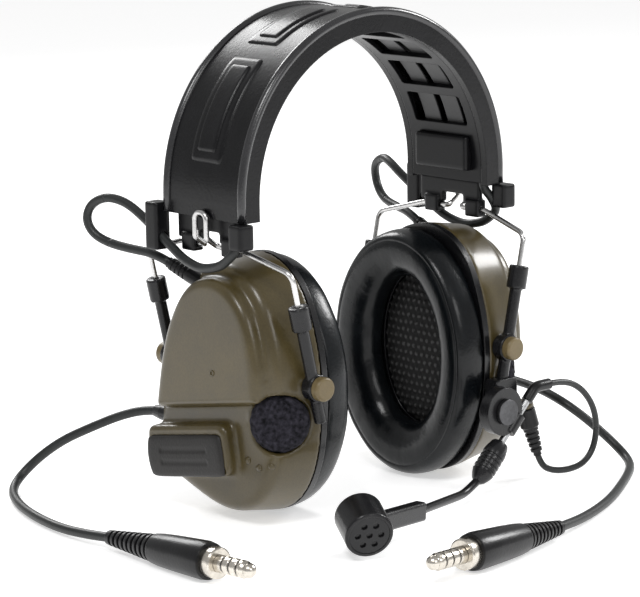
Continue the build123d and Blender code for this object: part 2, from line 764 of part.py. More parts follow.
ferrule_radius = 5.0
ferrule_start = rod_foot + slide_way * (holder_outer - 0.4)
ferrule_end = ferrule_start + slide_way * 20
rod_top = rod_foot - slide_way * (boom_travel + 8.2)
tail_bend = rod_top - slide_way * 7.5
tail_end = Vector(72.5, boom_y, tail_bend.Z)
with BuildPart() as boom_rod:
    with BuildSketch(Plane(origin=rod_top, z_dir=slide_way)):
        Circle(rod_radius)
    extrude(amount=(ferrule_start - rod_top).length)
save(boom_rod.part, "boom_rod")

with BuildPart() as boom_sleeve:
    with BuildLine() as sleeve_line:
        FilletPolyline(rod_top, tail_bend, tail_end, radius=6)
    with BuildSketch(Plane(origin=rod_top, z_dir=slide_way)):
        Circle(2.4)
    sweep(path=sleeve_line.wire())
save(boom_sleeve.part, "boom_sleeve")

with BuildPart() as boom_ferrule:
    with BuildSketch(Plane(origin=ferrule_start, z_dir=slide_way)):
        Circle(ferrule_radius - 1.4)
    with BuildSketch(Plane(origin=ferrule_start + slide_way * 5, z_dir=slide_way)):
        Circle(ferrule_radius)
    with BuildSketch(Plane(origin=ferrule_start + slide_way * 14, z_dir=slide_way)):
        Circle(ferrule_radius)
    with BuildSketch(Plane(origin=ferrule_end, z_dir=slide_way)):
        Circle(ferrule_radius - 2.2)
    loft(ruled=True)
save(boom_ferrule.part, "boom_ferrule")

face = mic_face.normalized()
neck_end = Vector(-24.6, -75, 8.8)
block_way = (Vector(-43, -80, 10.5) - neck_end).normalized()
neck_points = [ferrule_end, (18, -57.5, 4.5), (0, -65, 6.4), neck_end]
save(tube(neck_points, neck_radius, "boom_neck"), "boom_neck")
with BuildPart() as mic_housing:
    with BuildSketch(Plane(origin=mic_centre - face * mic_depth / 2, z_dir=face)):
        Circle(mic_radius)
    extrude(amount=mic_depth)
    fillet(mic_housing.edges(), radius=1)
    with BuildSketch(Plane(origin=neck_end, x_dir=(0, 0, 1), z_dir=block_way)):
        RectangleRounded(8, 6, 1.5)
    extrude(until=Until.NEXT)
    with BuildSketch(Plane(origin=mic_centre + face * (mic_depth / 2 - 1.2), z_dir=face)):
        Circle(mic_radius - 1.6)
    extrude(amount=5, mode=Mode.SUBTRACT)
save(mic_housing.part, "mic_housing")

with BuildPart() as mic_grille:
    with BuildSketch(Plane(origin=mic_centre + face * (mic_depth / 2 - 1.2), z_dir=face)):
        Circle(mic_radius - 1.6)
        with PolarLocations(4.8, 6):
            Circle(1.3, mode=Mode.SUBTRACT)
        Circle(1.3, mode=Mode.SUBTRACT)
    extrude(amount=1)
save(mic_grille.part, "mic_grille")

# the boom's plug stands in its socket at the cup's front, and its cord loops up to the boom
with BuildPart() as boom_plug:
    with BuildSketch(Plane(origin=plug_mouth - plug_way * 3, z_dir=plug_way)):
        Circle(plug_nose_radius)
    extrude(amount=3)
    with BuildSketch(Plane(origin=plug_mouth, z_dir=plug_way)):
        Circle(socket_radius)
    extrude(amount=8)
    with BuildSketch(Plane(origin=plug_mouth + plug_way * 8, z_dir=plug_way)):
        Circle(3.4)
    with BuildSketch(Plane(origin=plug_end, z_dir=plug_way)):
        Circle(2.2)
    loft()
save(boom_plug.part, "boom_plug")
boom_cord_points = [
    plug_end, (76.3, -47, 4.6), (80, -50, 2.0), (86.5, -54, 1.9), (94.5, -55.5, 3.6),
    (100.5, -56, 9.5), (102.6, -56, 19.5), (100, -56, 29.5), (92.5, -55.6, 38.5), tail_end + Vector(9.5, 0, 0),
    tail_end,
]
save(tube(boom_cord_points, boom_cord_radius, "boom_cord"), "boom_cord")

# ---------------------------------------------------------------- stored origin
free = ("lead_left", "lead_right", "plug_body", "plug_pin", "boom_cord", "boom_plug", "link_loop")
own = [piece for name, piece in pieces.items() if not name.startswith(free)]
low = [min(tuple(piece.bounding_box().min)[i] for piece in own) for i in range(3)]
high = [max(tuple(piece.bounding_box().max)[i] for piece in own) for i in range(3)]
shift = Vector(-(low[0] + high[0]) / 2, -(low[1] + high[1]) / 2, -low[2])
print("moved by", shift, "own box", low, high)
for name, piece in pieces.items():
    placed = piece.moved(Location(shift))
    placed.label = name
    export_step(placed, f"parts/{name}.step")
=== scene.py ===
import math

import bmesh
import bpy
from mathutils import Matrix, Vector, noise


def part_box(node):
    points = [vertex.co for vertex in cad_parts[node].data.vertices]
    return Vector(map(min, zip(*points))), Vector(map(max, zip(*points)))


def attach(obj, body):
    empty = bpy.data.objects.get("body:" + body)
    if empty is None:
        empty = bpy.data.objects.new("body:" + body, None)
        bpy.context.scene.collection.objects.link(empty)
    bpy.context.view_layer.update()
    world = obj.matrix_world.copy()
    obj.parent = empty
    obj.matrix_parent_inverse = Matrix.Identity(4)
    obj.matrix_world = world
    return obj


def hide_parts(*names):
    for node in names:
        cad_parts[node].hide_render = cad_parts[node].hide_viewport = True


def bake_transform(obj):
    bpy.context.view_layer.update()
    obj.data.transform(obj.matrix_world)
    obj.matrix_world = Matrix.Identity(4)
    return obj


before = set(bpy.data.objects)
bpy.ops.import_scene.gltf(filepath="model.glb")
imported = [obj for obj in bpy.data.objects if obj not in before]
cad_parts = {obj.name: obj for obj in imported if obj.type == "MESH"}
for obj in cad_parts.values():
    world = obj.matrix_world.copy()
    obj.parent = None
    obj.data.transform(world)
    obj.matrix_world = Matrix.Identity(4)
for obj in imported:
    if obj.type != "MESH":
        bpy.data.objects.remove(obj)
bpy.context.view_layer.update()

coverLow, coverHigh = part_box("headband_cover")
bandY = (coverLow[1] + coverHigh[1]) / 2  # the headband's middle plane, front to back
sides = {"left": 1, "right": -1}


def placed(point, side=1):
    # cord points are written with the headband over y = 0
    return Vector((point[0] * side, point[1] + bandY, point[2]))


# ---- camera, lights and floor

cameraSetup = {
    "azimuth": -42.0, "elevation": 11.0, "roll": -0.8, "distance": 1.2,
    "aim": (0, 0, 0.085), "lens": 156.9, "shiftX": -0.0298, "shiftY": -0.0039,
}


def makeCamera():
    s = cameraSetup
    az, el = math.radians(s["azimuth"]), math.radians(s["elevation"])
    back = Vector((math.sin(az) * math.cos(el), -math.cos(az) * math.cos(el), math.sin(el)))
    camera = bpy.data.objects.new("camera", bpy.data.cameras.new("camera"))
    bpy.context.scene.collection.objects.link(camera)
    turn = back.to_track_quat("Z", "Y") @ Matrix.Rotation(math.radians(s["roll"]), 3, "Z").to_quaternion()
    camera.rotation_mode = "QUATERNION"
    camera.rotation_quaternion = turn
    camera.location = placed(s["aim"]) + back * s["distance"]
    camera.data.lens = s["lens"]
    camera.data.shift_x = s["shiftX"]
    camera.data.shift_y = s["shiftY"]
    camera.data.clip_end = 20
    bpy.context.scene.camera = camera


lightSetup = {
    # name: (place, size, watts, aim height)
    "keyTopLeft": ((-0.9, -0.5, 1.3), 0.5, 9, 0.1),
    "frontFill": ((-0.2, -1.6, 0.9), 0.7, 5, 0.08),
    "rimRight": ((1.1, -0.35, 0.75), 0.4, 9, 0.08),
    "backEdge": ((0.3, 1.2, 0.9), 0.6, 8, 0.1),
}


studio = {"worldStrength": 0.45, "floorWidth": 6, "floorHeight": -0.0006, "floorGlow": 0.5}


def makeLights():
    for name, (place, size, watts, aim) in lightSetup.items():
        lamp = bpy.data.objects.new(name, bpy.data.lights.new(name, "AREA"))
        lamp.data.shape = "DISK"
        lamp.data.size = size
        lamp.data.energy = watts
        lamp.location = place
        lamp.rotation_euler = (Vector(place) - Vector((0, 0, aim))).to_track_quat("Z", "Y").to_euler()
        bpy.context.scene.collection.objects.link(lamp)
    world = bpy.data.worlds.new("studio")
    world.use_nodes = True
    world.node_tree.nodes["Background"].inputs["Color"].default_value = (1, 1, 1, 1)
    world.node_tree.nodes["Background"].inputs["Strength"].default_value = studio["worldStrength"]
    bpy.context.scene.world = world
    bpy.context.scene.view_settings.view_transform = "Standard"
    bpy.ops.mesh.primitive_plane_add(size=studio["floorWidth"], location=(0, 0, studio["floorHeight"]))
    floor = bpy.context.object
    floor.name = "floor"
    paint = bpy.data.materials.new("floorPaint")
    paint.use_nodes = True
    shader = paint.node_tree.nodes["Principled BSDF"]
    shader.inputs["Base Color"].default_value = (0.93, 0.93, 0.93, 1)
    shader.inputs["Roughness"].default_value = 0.7
    shader.inputs["Emission Color"].default_value = (1, 1, 1, 1)
    shader.inputs["Emission Strength"].default_value = studio["floorGlow"]
    floor.data.materials.append(paint)


makeCamera()
makeLights()
print("camera and lights ready")


# ---- materials

finishes = {
    # low colour, high colour, roughness, metal, shine, grain size per metre, bump depth, coat
    "oliveShell": ((0.046, 0.034, 0.011), (0.076, 0.057, 0.02), 0.32, 0, 0.4, 1200, 0.00006, 0.3),
    "tanButton": ((0.12, 0.088, 0.036), (0.17, 0.125, 0.055), 0.42, 0, 0.5, 1200, 0.00004, 0.1),
    "bandRubber": ((0.002, 0.002, 0.0025), (0.007, 0.007, 0.008), 0.25, 0, 0.22, 900, 0.00009, 0.08),
    # edge piping rubber coloured lighter than the band rubber: a painted highlight along the piping
    "pipingRubberPaintedHighlight": ((0.008, 0.008, 0.009), (0.02, 0.02, 0.022), 0.22, 0, 0.5, 900, 0.00006, 0.4),
    "bandPlastic": ((0.002, 0.002, 0.0025), (0.006, 0.006, 0.007), 0.3, 0, 0.22, 1200, 0.00005, 0.04),
    "armPlastic": ((0.004, 0.004, 0.005), (0.013, 0.013, 0.014), 0.24, 0, 0.34, 1200, 0.00006, 0.08),
    "platePlastic": ((0.002, 0.002, 0.0025), (0.006, 0.006, 0.007), 0.25, 0, 0.4, 1200, 0.00004, 0.2),
    "cushionSkin": ((0.0015, 0.002, 0.0025), (0.005, 0.0065, 0.008), 0.24, 0, 0.25, 750, 0.00014, 0.12),
    "linerCloth": ((0.003, 0.003, 0.003), (0.01, 0.01, 0.01), 0.7, 0, 0.3, 900, 0.0002, 0),
    # lighter colour on the liner's raised dots: a painted highlight where the dots catch the light
    "linerDotPaintedHighlight": ((0.02, 0.02, 0.02), (0.05, 0.05, 0.05), 0.5, 0, 0.5, 900, 0.0001, 0),
    "micFoam": ((0.001, 0.001, 0.002), (0.032, 0.03, 0.04), 0.95, 0, 0.2, 560, 0.0011, 0),
    "cableRubber": ((0.008, 0.0095, 0.0095), (0.02, 0.022, 0.022), 0.4, 0, 0.4, 1000, 0.00008, 0.05),
    "plugRubber": ((0.002, 0.002, 0.0025), (0.008, 0.008, 0.009), 0.3, 0, 0.3, 1000, 0.0001, 0.1),
    "doorRubber": ((0.007, 0.0065, 0.006), (0.02, 0.018, 0.017), 0.5, 0, 0.4, 1000, 0.00016, 0),
    "keyRubber": ((0.006, 0.006, 0.006), (0.015, 0.015, 0.015), 0.55, 0, 0.4, 1200, 0.00008, 0),
    "wireSteel": ((0.5, 0.5, 0.5), (0.72, 0.71, 0.7), 0.22, 1, 0.5, 900, 0.00003, 0),
    "boomSteel": ((0.28, 0.29, 0.3), (0.5, 0.5, 0.5), 0.26, 1, 0.5, 900, 0.00003, 0),
    "springSteel": ((0.004, 0.004, 0.0045), (0.012, 0.012, 0.013), 0.4, 0, 0.5, 900, 0.00004, 0),
    "screwSteel": ((0.05, 0.05, 0.052), (0.11, 0.11, 0.115), 0.34, 1, 0.5, 900, 0.00004, 0),
    "plugNickel": ((0.5, 0.46, 0.4), (0.78, 0.74, 0.67), 0.2, 1, 0.5, 700, 0.00003, 0),
    "ringInsulator": ((0.02, 0.018, 0.016), (0.05, 0.045, 0.04), 0.4, 0, 0.5, 1500, 0.00003, 0),
    "boardGreen": ((0.01, 0.06, 0.02), (0.02, 0.12, 0.04), 0.35, 0, 0.5, 600, 0.00004, 0.3),
    "cellCase": ((0.15, 0.15, 0.16), (0.3, 0.3, 0.31), 0.35, 0, 0.5, 500, 0.00003, 0.4),
}
softEdge = {"radius": 0.0007, "samples": 4}  # how far a moulded edge is rounded over
mottle = {"cloudScale": 45, "speckleShare": 0.35, "foamSpeckleShare": 0.75, "contrast": (0.34, 0.66)}


def makeFinish(name):
    low, high, rough, metal, shine, grain, bump, coat = finishes[name]
    finish = bpy.data.materials.new(name)
    finish.use_nodes = True
    tree = finish.node_tree
    shader = tree.nodes["Principled BSDF"]
    place = tree.nodes.new("ShaderNodeTexCoord")
    speckle = tree.nodes.new("ShaderNodeTexNoise")
    speckle.inputs["Scale"].default_value = grain
    speckle.inputs["Detail"].default_value = 3
    cloud = tree.nodes.new("ShaderNodeTexNoise")
    cloud.inputs["Scale"].default_value = mottle["cloudScale"]
    cloud.inputs["Detail"].default_value = 5
    mix = tree.nodes.new("ShaderNodeMix")
    mix.data_type = "RGBA"
    mix.inputs["A"].default_value = (*low, 1)
    mix.inputs["B"].default_value = (*high, 1)
    polish = tree.nodes.new("ShaderNodeMapRange")
    polish.inputs["To Min"].default_value = max(rough - 0.07, 0.05)
    polish.inputs["To Max"].default_value = rough + 0.1
    relief = tree.nodes.new("ShaderNodeBump")
    relief.inputs["Strength"].default_value = 0.7
    relief.inputs["Distance"].default_value = bump
    edge = tree.nodes.new("ShaderNodeBevel")
    edge.samples = softEdge["samples"]
    edge.inputs["Radius"].default_value = softEdge["radius"]
    link = tree.links.new
    link(edge.outputs["Normal"], relief.inputs["Normal"])
    link(place.outputs["Object"], speckle.inputs["Vector"])
    link(place.outputs["Object"], cloud.inputs["Vector"])
    # the colour follows the broad cloud and the fine speckle, and in foam mostly the speckle
    blend = tree.nodes.new("ShaderNodeMix")
    share = mottle["foamSpeckleShare"] if name == "micFoam" else mottle["speckleShare"]
    blend.inputs["Factor"].default_value = share
    contrast = tree.nodes.new("ShaderNodeMapRange")
    contrast.inputs["From Min"].default_value = mottle["contrast"][0]
    contrast.inputs["From Max"].default_value = mottle["contrast"][1]
    link(cloud.outputs["Fac"], blend.inputs["A"])
    link(speckle.outputs["Fac"], blend.inputs["B"])
    link(blend.outputs["Result"], contrast.inputs["Value"])
    link(contrast.outputs["Result"], mix.inputs["Factor"])
    link(mix.outputs["Result"], shader.inputs["Base Color"])
    link(cloud.outputs["Fac"], polish.inputs["Value"])
    link(polish.outputs["Result"], shader.inputs["Roughness"])
    link(speckle.outputs["Fac"], relief.inputs["Height"])
    link(relief.outputs["Normal"], shader.inputs["Normal"])
    shader.inputs["Metallic"].default_value = metal
    shader.inputs["Specular IOR Level"].default_value = shine
    shader.inputs["Coat Weight"].default_value = coat
    shader.inputs["Coat Roughness"].default_value = 0.15
    return finish


finish = {name: makeFinish(name) for name in finishes}


def dress(piece, *names):
    piece.data.materials.clear()
    for name in names:
        piece.data.materials.append(finish[name])


# ---- shaping helpers

def meshPiece(name, verts, faces, finishName, smooth=True):
    mesh = bpy.data.meshes.new(name)
    mesh.from_pydata([tuple(v) for v in verts], [], faces)
    mesh.validate()
    piece = bpy.data.objects.new(name, mesh)
    bpy.context.scene.collection.objects.link(piece)
    work = bmesh.new()
    work.from_mesh(mesh)
    bmesh.ops.recalc_face_normals(work, faces=work.faces)
    work.to_mesh(mesh)
    work.free()
    for face in mesh.polygons:
        face.use_smooth = smooth
    dress(piece, finishName)
    return piece


def ringsToFaces(rings, count):
    # joins closed rings of the same size, with a flat cap at each end
    faces = []
    for k in range(rings - 1):
        for i in range(count):
            j = (i + 1) % count
            faces.append((k * count + i, k * count + j, (k + 1) * count + j, (k + 1) * count + i))
    faces.append(tuple(range(count))[::-1])
    faces.append(tuple(range((rings - 1) * count, rings * count)))
    return faces


def turned(name, foot, way, profile, finishName, around=40):
    # a body of revolution: profile is (distance along, radius)
    way = way.normalized()
    across = way.orthogonal().normalized()
    other = way.cross(across)
    verts = []
    for along, radius in profile:
        for i in range(around):
            turn = 2 * math.pi * i / around
            verts.append(foot + way * along + (across * math.cos(turn) + other * math.sin(turn)) * radius)
    piece = meshPiece(name, verts, ringsToFaces(len(profile), around), finishName)
    edges = piece.modifiers.new("edges", "EDGE_SPLIT")
    edges.split_angle = math.radians(38)
    return piece


def tubeAlong(name, path, radius, finishName, around=16):
    # a round tube that follows path without twisting
    verts = []
    heading = (path[1] - path[0]).normalized()
    across = heading.orthogonal().normalized()
    for k, point in enumerate(path):
        ahead = path[min(k + 1, len(path) - 1)] - path[max(k - 1, 0)]
        ahead.normalize()
        across = (across - ahead * across.dot(ahead)).normalized()
        other = ahead.cross(across)
        for i in range(around):
            turn = 2 * math.pi * i / around
            verts.append(point + (across * math.cos(turn) + other * math.sin(turn)) * radius)
    return meshPiece(name, verts, ringsToFaces(len(path), around), finishName)


def splineCurve(name, points):
    curve = bpy.data.curves.new(name, "CURVE")
    curve.dimensions = "3D"
    spline = curve.splines.new("NURBS")
    spline.points.add(len(points) - 1)
    for spot, point in zip(spline.points, points):
        spot.co = (*point, 1)
    spline.order_u = 3
    spline.use_endpoint_u = True
    spline.resolution_u = 12
    piece = bpy.data.objects.new(name, curve)
    bpy.context.scene.collection.objects.link(piece)
    return piece


def splinePath(points):
    # the points along the smooth line of a route
    guide = splineCurve("guide", points)
    bpy.context.view_layer.update()
    mesh = bpy.data.meshes.new_from_object(guide)
    path = [v.co.copy() for v in mesh.vertices]
    bpy.data.objects.remove(guide)
    clean = [path[0]]
    for point in path[1:]:
        if (point - clean[-1]).length > 0.0002:
            clean.append(point)
    return clean


def pathLength(path):
    return sum((b - a).length for a, b in zip(path, path[1:]))


# ---- cords

leads = {
    "left": [
        (0.066, 0.045, 0.038), (0.067, 0.054, 0.0376), (0.075, 0.065, 0.0355), (0.091, 0.066, 0.0325),
        (0.103, 0.051, 0.0305), (0.109, 0.030, 0.030), (0.1105, 0.008, 0.030), (0.109, -0.013, 0.029),
        (0.107, -0.030, 0.026), (0.111, -0.039, 0.020), (0.116, -0.046, 0.013), (0.118, -0.053, 0.0075),
        (0.117, -0.0605, 0.0036), (0.112, -0.0675, 0.0022), (0.102, -0.076, 0.0022),
        (0.084, -0.088, 0.0022),
        (0.060, -0.1025, 0.0022), (0.033, -0.1135, 0.0023), (0.008, -0.122, 0.0045),
    ],
    "right": [
        (-0.066, 0.045, 0.038), (-0.067, 0.052, 0.0374), (-0.0735, 0.061, 0.0345), (-0.0815, 0.071, 0.029),
        (-0.0875, 0.083, 0.0225), (-0.0925, 0.0925, 0.015), (-0.098, 0.097, 0.0085),
        (-0.104, 0.0965, 0.0042),
        (-0.110, 0.091, 0.0023), (-0.117, 0.080, 0.0022), (-0.124, 0.064, 0.0022), (-0.129, 0.045, 0.0022),
        (-0.1315, 0.026, 0.0023), (-0.131, 0.0095, 0.0032), (-0.130, -0.005, 0.0045),
    ],
}
plugs = {
    "left": ((0.008, -0.122, 0.0045), (-0.075, -0.1325, 0.0088)),
    "right": ((-0.130, -0.005, 0.0045), (-0.1293, -0.093, 0.0088)),
}
plugSize = {"handle": 0.033, "collar": 0.006, "pin": 0.020, "pinRadius": 0.00355, "bootRibs": 9,
            "bootFoot": 0.0031, "bootSwell": 0.0027, "ringWidth": 0.0013, "rings": (0.0035, 0.0078, 0.0122)}
cordSizes = {"leadRadius": 0.002, "leadRunOn": (0.006, 0.030), "linkRadius": 0.00195, "boomRadius": 0.0014}


def makePlug(side):
    # ribbed boot, swelling handle, collar and a ringed pin
    tail, tip = placed(plugs[side][0]), placed(plugs[side][1])
    way = (tip - tail).normalized()
    size = plugSize
    bodyEnd = (tip - tail).length - size["pin"]
    collarStart = bodyEnd - size["collar"]
    handleStart = collarStart - size["handle"]
    profile = [(-0.001, 0.0018), (-0.001, 0.0030)]
    ribs = size["bootRibs"]
    for n in range(ribs):
        start = handleStart * n / ribs
        reach = size["bootFoot"] + size["bootSwell"] * (n / ribs)
        step = handleStart / ribs
        profile += [(start, reach), (start + step * 0.5, reach + 0.0002)]
        profile += [(start + step * 0.55, reach - 0.0009), (start + step * 0.95, reach - 0.0008)]
    swell = [(0.0, 0.0061), (0.004, 0.0066), (0.012, 0.0071), (0.022, 0.0075), (0.030, 0.0078),
             (0.033, 0.0074)]
    profile += [(handleStart + along, radius) for along, radius in swell]
    profile += [(collarStart + 0.0002, 0.0066)]
    body = turned(f"plugBody_{side}", tail, way, profile, "plugRubber", 48)
    band = [(0, 0.003), (0, 0.0060), (0.0004, 0.0063), (0.0062, 0.0063), (0.0068, 0.0058), (0.0068, 0.003)]
    collar = turned(f"plugCollar_{side}", tail + way * (collarStart - 0.001), way, band, "plugNickel", 48)
    barrel, ring = size["pinRadius"], size["ringWidth"]
    rings = [(0, 0.002), (0, barrel)]
    for spot in size["rings"]:
        rings += [(spot, barrel), (spot, barrel - 0.0004)]
        rings += [(spot + ring, barrel - 0.0004), (spot + ring, barrel)]
    rings += [(0.0150, barrel), (0.0158, 0.0028), (0.0164, 0.0026), (0.0172, 0.0030), (0.0184, 0.0027),
              (0.0194, 0.0018), (0.0200, 0.0006)]
    pin = turned(f"plugPin_{side}", tip - way * size["pin"], way, rings, "plugNickel", 40)
    pin.data.materials.append(finish["ringInsulator"])
    for face in pin.data.polygons:
        along = (face.center - (tip - way * size["pin"])).dot(way)
        if any(spot + 0.0001 < along < spot + ring - 0.0001 for spot in size["rings"]):
            face.material_index = 1
    for piece, slotName in ((body, "plug_rubber"), (collar, "plug_metal"), (pin, "plug_metal")):
        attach(piece, f"cup_{side}")
    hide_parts(f"plug_body_{side}")
    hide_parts(f"plug_pin_{side}")
    return [body, collar, pin]


def makeLead(side):
    points = [placed(p) for p in leads[side]]
    way = (placed(plugs[side][1]) - points[-1]).normalized()
    points += [points[-1] + way * reach for reach in cordSizes["leadRunOn"]]  # runs on into the handle
    lead = splineCurve(f"lead_{side}_cord", points)
    lead.data.bevel_depth = cordSizes["leadRadius"]
    lead.data.bevel_resolution = 5
    lead.data.use_fill_caps = True
    dress(lead, "cableRubber")
    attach(lead, f"cup_{side}")
    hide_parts(f"lead_{side}")
    length = pathLength(splinePath(points))
    makePlug(side)


def jointedCord(name, points, radius, bodies, node):
    # a short cord that crosses several joints, cut into one stretch for each joint
    path = splinePath(points)
    total = pathLength(path)
    count = len(bodies) - 1
    stretch, run, stretches = [path[0]], 0, []
    for a, b in zip(path, path[1:]):
        run += (b - a).length
        stretch.append(b)
        if run >= total * (len(stretches) + 1) / count and len(stretches) < count - 1:
            stretches.append(stretch)
            stretch = [b]
    stretches.append(stretch)
    for n, line in enumerate(stretches):
        piece = tubeAlong(f"{name}_{n + 1}", line, radius, "cableRubber")
        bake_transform(piece)
        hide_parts(node)


linkLoop = [
    (0.072, 0.026, 0.106), (0.07362, 0.03356, 0.10906), (0.077, 0.045, 0.110), (0.080, 0.056, 0.1115),
    (0.083, 0.0635, 0.115), (0.084, 0.067, 0.121), (0.0825, 0.0655, 0.1275), (0.0805, 0.0575, 0.1315),
    (0.077, 0.049, 0.130), (0.0754, 0.0395, 0.125), (0.0754, 0.030, 0.1196),
]
boomCord = [
    (0.0751, -0.046, 0.0095), (0.0763, -0.047, 0.0046), (0.080, -0.050, 0.0020), (0.0865, -0.054, 0.0019),
    (0.0945, -0.0555, 0.0036), (0.1005, -0.056, 0.0095), (0.1026, -0.056, 0.0195), (0.100, -0.056, 0.0295),
    (0.0925, -0.0556, 0.0385), (0.082, -0.0552, 0.0433), (0.0725, -0.0552, 0.0433),
]


def makeCords():
    for side, sign in sides.items():
        makeLead(side)
        loop = [placed(p, sign) for p in linkLoop]
        bodies = [f"cup_{side}", f"slider_{side}", f"fork_{side}", "headband"]
        jointedCord(f"linkLoop_{side}", loop, cordSizes["linkRadius"], bodies, f"link_loop_{side}")
    jointedCord("boomCord", [placed(p) for p in boomCord], cordSizes["boomRadius"],
                ["slider_left", "boom_holder", "boom"], "boom_cord")


makeCords()
print("cords laid")


# ---- ear cushions and liners

cushionSize = {"ringSteps": 128, "wrinkle": 0.00035, "openingGap": 0.001}


def cushionSection():
    # (share of the way from the outside ellipse to the opening, height above the plate as a share)
    section = [(0.0, 0.0), (-0.015, 0.12), (-0.02, 0.3), (-0.012, 0.5), (0.012, 0.68)]
    section += [(0.05, 0.82), (0.10, 0.905), (0.155, 0.95), (0.185, 0.945), (0.2, 0.925), (0.215, 0.945)]
    section += [(0.25, 0.975), (0.34, 1.0), (0.46, 1.0), (0.58, 0.975), (0.70, 0.915), (0.80, 0.83)]
    section += [(0.88, 0.72), (0.94, 0.58), (0.98, 0.42), (1.0, 0.25), (1.0, 0.0)]
    return section


def makeCushion(side):
    low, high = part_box(f"cushion_{side}")
    linerLow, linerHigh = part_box(f"liner_{side}")
    sign = sides[side]
    baseX, faceX = (high[0], low[0]) if sign > 0 else (low[0], high[0])
    midY, midZ = (low[1] + high[1]) / 2, (low[2] + high[2]) / 2
    outY, outZ = (high[1] - low[1]) / 2, (high[2] - low[2]) / 2
    holeY, holeZ = (linerLow[1] + linerHigh[1]) / 2, (linerLow[2] + linerHigh[2]) / 2
    inY = (linerHigh[1] - linerLow[1]) / 2 - cushionSize["openingGap"]
    inZ = (linerHigh[2] - linerLow[2]) / 2 - cushionSize["openingGap"]
    steps = cushionSize["ringSteps"]
    section = cushionSection()
    verts = []
    for i in range(steps):
        turn = 2 * math.pi * i / steps
        c, s = math.cos(turn), math.sin(turn)
        outer = Vector((0, midY + outY * c, midZ + outZ * s))
        inner = Vector((0, holeY + inY * c, holeZ + inZ * s))
        for share, rise in section:
            spot = outer.lerp(inner, share)
            ripple = noise.noise(Vector((c * 5, s * 5, share * 4 + sign))) * cushionSize["wrinkle"]
            fine = noise.noise(Vector((c * 17, s * 17, rise * 3))) * cushionSize["wrinkle"] * 0.5
            soften = math.sin(math.pi * min(max(rise, 0), 1)) if rise < 1 else 0.4
            spot.x = baseX + (faceX - baseX) * rise + sign * (ripple + fine) * (0.4 + soften)
            spot.z = max(spot.z, 0.0001)
            verts.append(spot)
    n = len(section)
    faces = []
    for i in range(steps):
        j = (i + 1) % steps
        for k in range(n):
            m = (k + 1) % n
            faces.append((i * n + k, i * n + m, j * n + m, j * n + k))
    piece = meshPiece(f"earCushion_{side}", verts, faces, "cushionSkin")
    smoother = piece.modifiers.new("smoother", "SUBSURF")
    smoother.levels = smoother.render_levels = 1
    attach(piece, f"cup_{side}")
    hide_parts(f"cushion_{side}")


linerSize = {"pitch": 0.0034, "rows": 64, "around": 240, "edgeGap": 0.0003, "bumpRise": 0.0009,
             "bumpRadius": 0.0013, "highlightDotRadius": 0.00095, "dome": 0.0012, "seat": 0.0014}


def makeLiner(side):
    # a foam sheet dimpled in rows, slightly domed towards the ear
    low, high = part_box(f"liner_{side}")
    sign = sides[side]
    faceX = low[0] if sign > 0 else high[0]
    backX = high[0] if sign > 0 else low[0]
    paintedHighlightDots = []
    midY, midZ = (low[1] + high[1]) / 2, (low[2] + high[2]) / 2
    halfY = (high[1] - low[1]) / 2 - linerSize["edgeGap"]
    halfZ = (high[2] - low[2]) / 2 - linerSize["edgeGap"]
    pitch, rows, around = linerSize["pitch"], linerSize["rows"], linerSize["around"]
    verts = []
    for k in range(rows + 1):
        share = k / rows
        for i in range(around):
            turn = 2 * math.pi * i / around
            y, z = halfY * share * math.cos(turn), halfZ * share * math.sin(turn)
            row = round(z / pitch)
            column = round(y / pitch - 0.5 * (row % 2)) + 0.5 * (row % 2)
            near = math.hypot(y - column * pitch, z - row * pitch)
            bump = linerSize["bumpRise"] * max(0, 1 - (near / linerSize["bumpRadius"]) ** 2)
            # this mask marks the tops of the raised dots, which get the painted highlight
            paintedHighlightDots.append(near < linerSize["highlightDotRadius"])
            dome = linerSize["dome"] * (1 - share ** 2)
            x = faceX - sign * (dome + bump) + sign * linerSize["seat"]
            verts.append(Vector((x, midY + y, midZ + z)))
    count = len(verts)
    for i in range(around):
        turn = 2 * math.pi * i / around
        verts.append(Vector((backX, midY + halfY * math.cos(turn), midZ + halfZ * math.sin(turn))))
    faces = []
    for k in range(rows):
        for i in range(around):
            j = (i + 1) % around
            if k == 0:
                faces.append((i, around + i, around + j))
            else:
                faces.append((k * around + i, (k + 1) * around + i, (k + 1) * around + j, k * around + j))
    for i in range(around):
        j = (i + 1) % around
        faces.append((rows * around + i, count + i, count + j, rows * around + j))
    faces.append(tuple(count + i for i in range(around)))
    piece = meshPiece(f"earLiner_{side}", verts, faces, "linerCloth")
    # faces on the raised dots take the lighter finish, a painted highlight
    piece.data.materials.append(finish["linerDotPaintedHighlight"])
    paintedHighlightDots += [False] * (len(verts) - count)
    for face in piece.data.polygons:
        face.material_index = int(sum(paintedHighlightDots[v] for v in face.vertices) * 2 > len(face.vertices))
    work = bmesh.new()
    work.from_mesh(piece.data)
    bmesh.ops.remove_doubles(work, verts=work.verts, dist=0.000005)
    bmesh.ops.recalc_face_normals(work, faces=work.faces)
    work.to_mesh(piece.data)
    work.free()
    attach(piece, f"cup_{side}")
    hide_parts(f"liner_{side}")


# ---- foam wind covers

foamCover = {
    "radius": 0.0122, "height": 0.0085, "depth": 0.0038, "straight": 0.0038, "rough": 0.0004,
    "centre": (0.0645, -0.0345, 0.046), "sunk": 0.003,
}


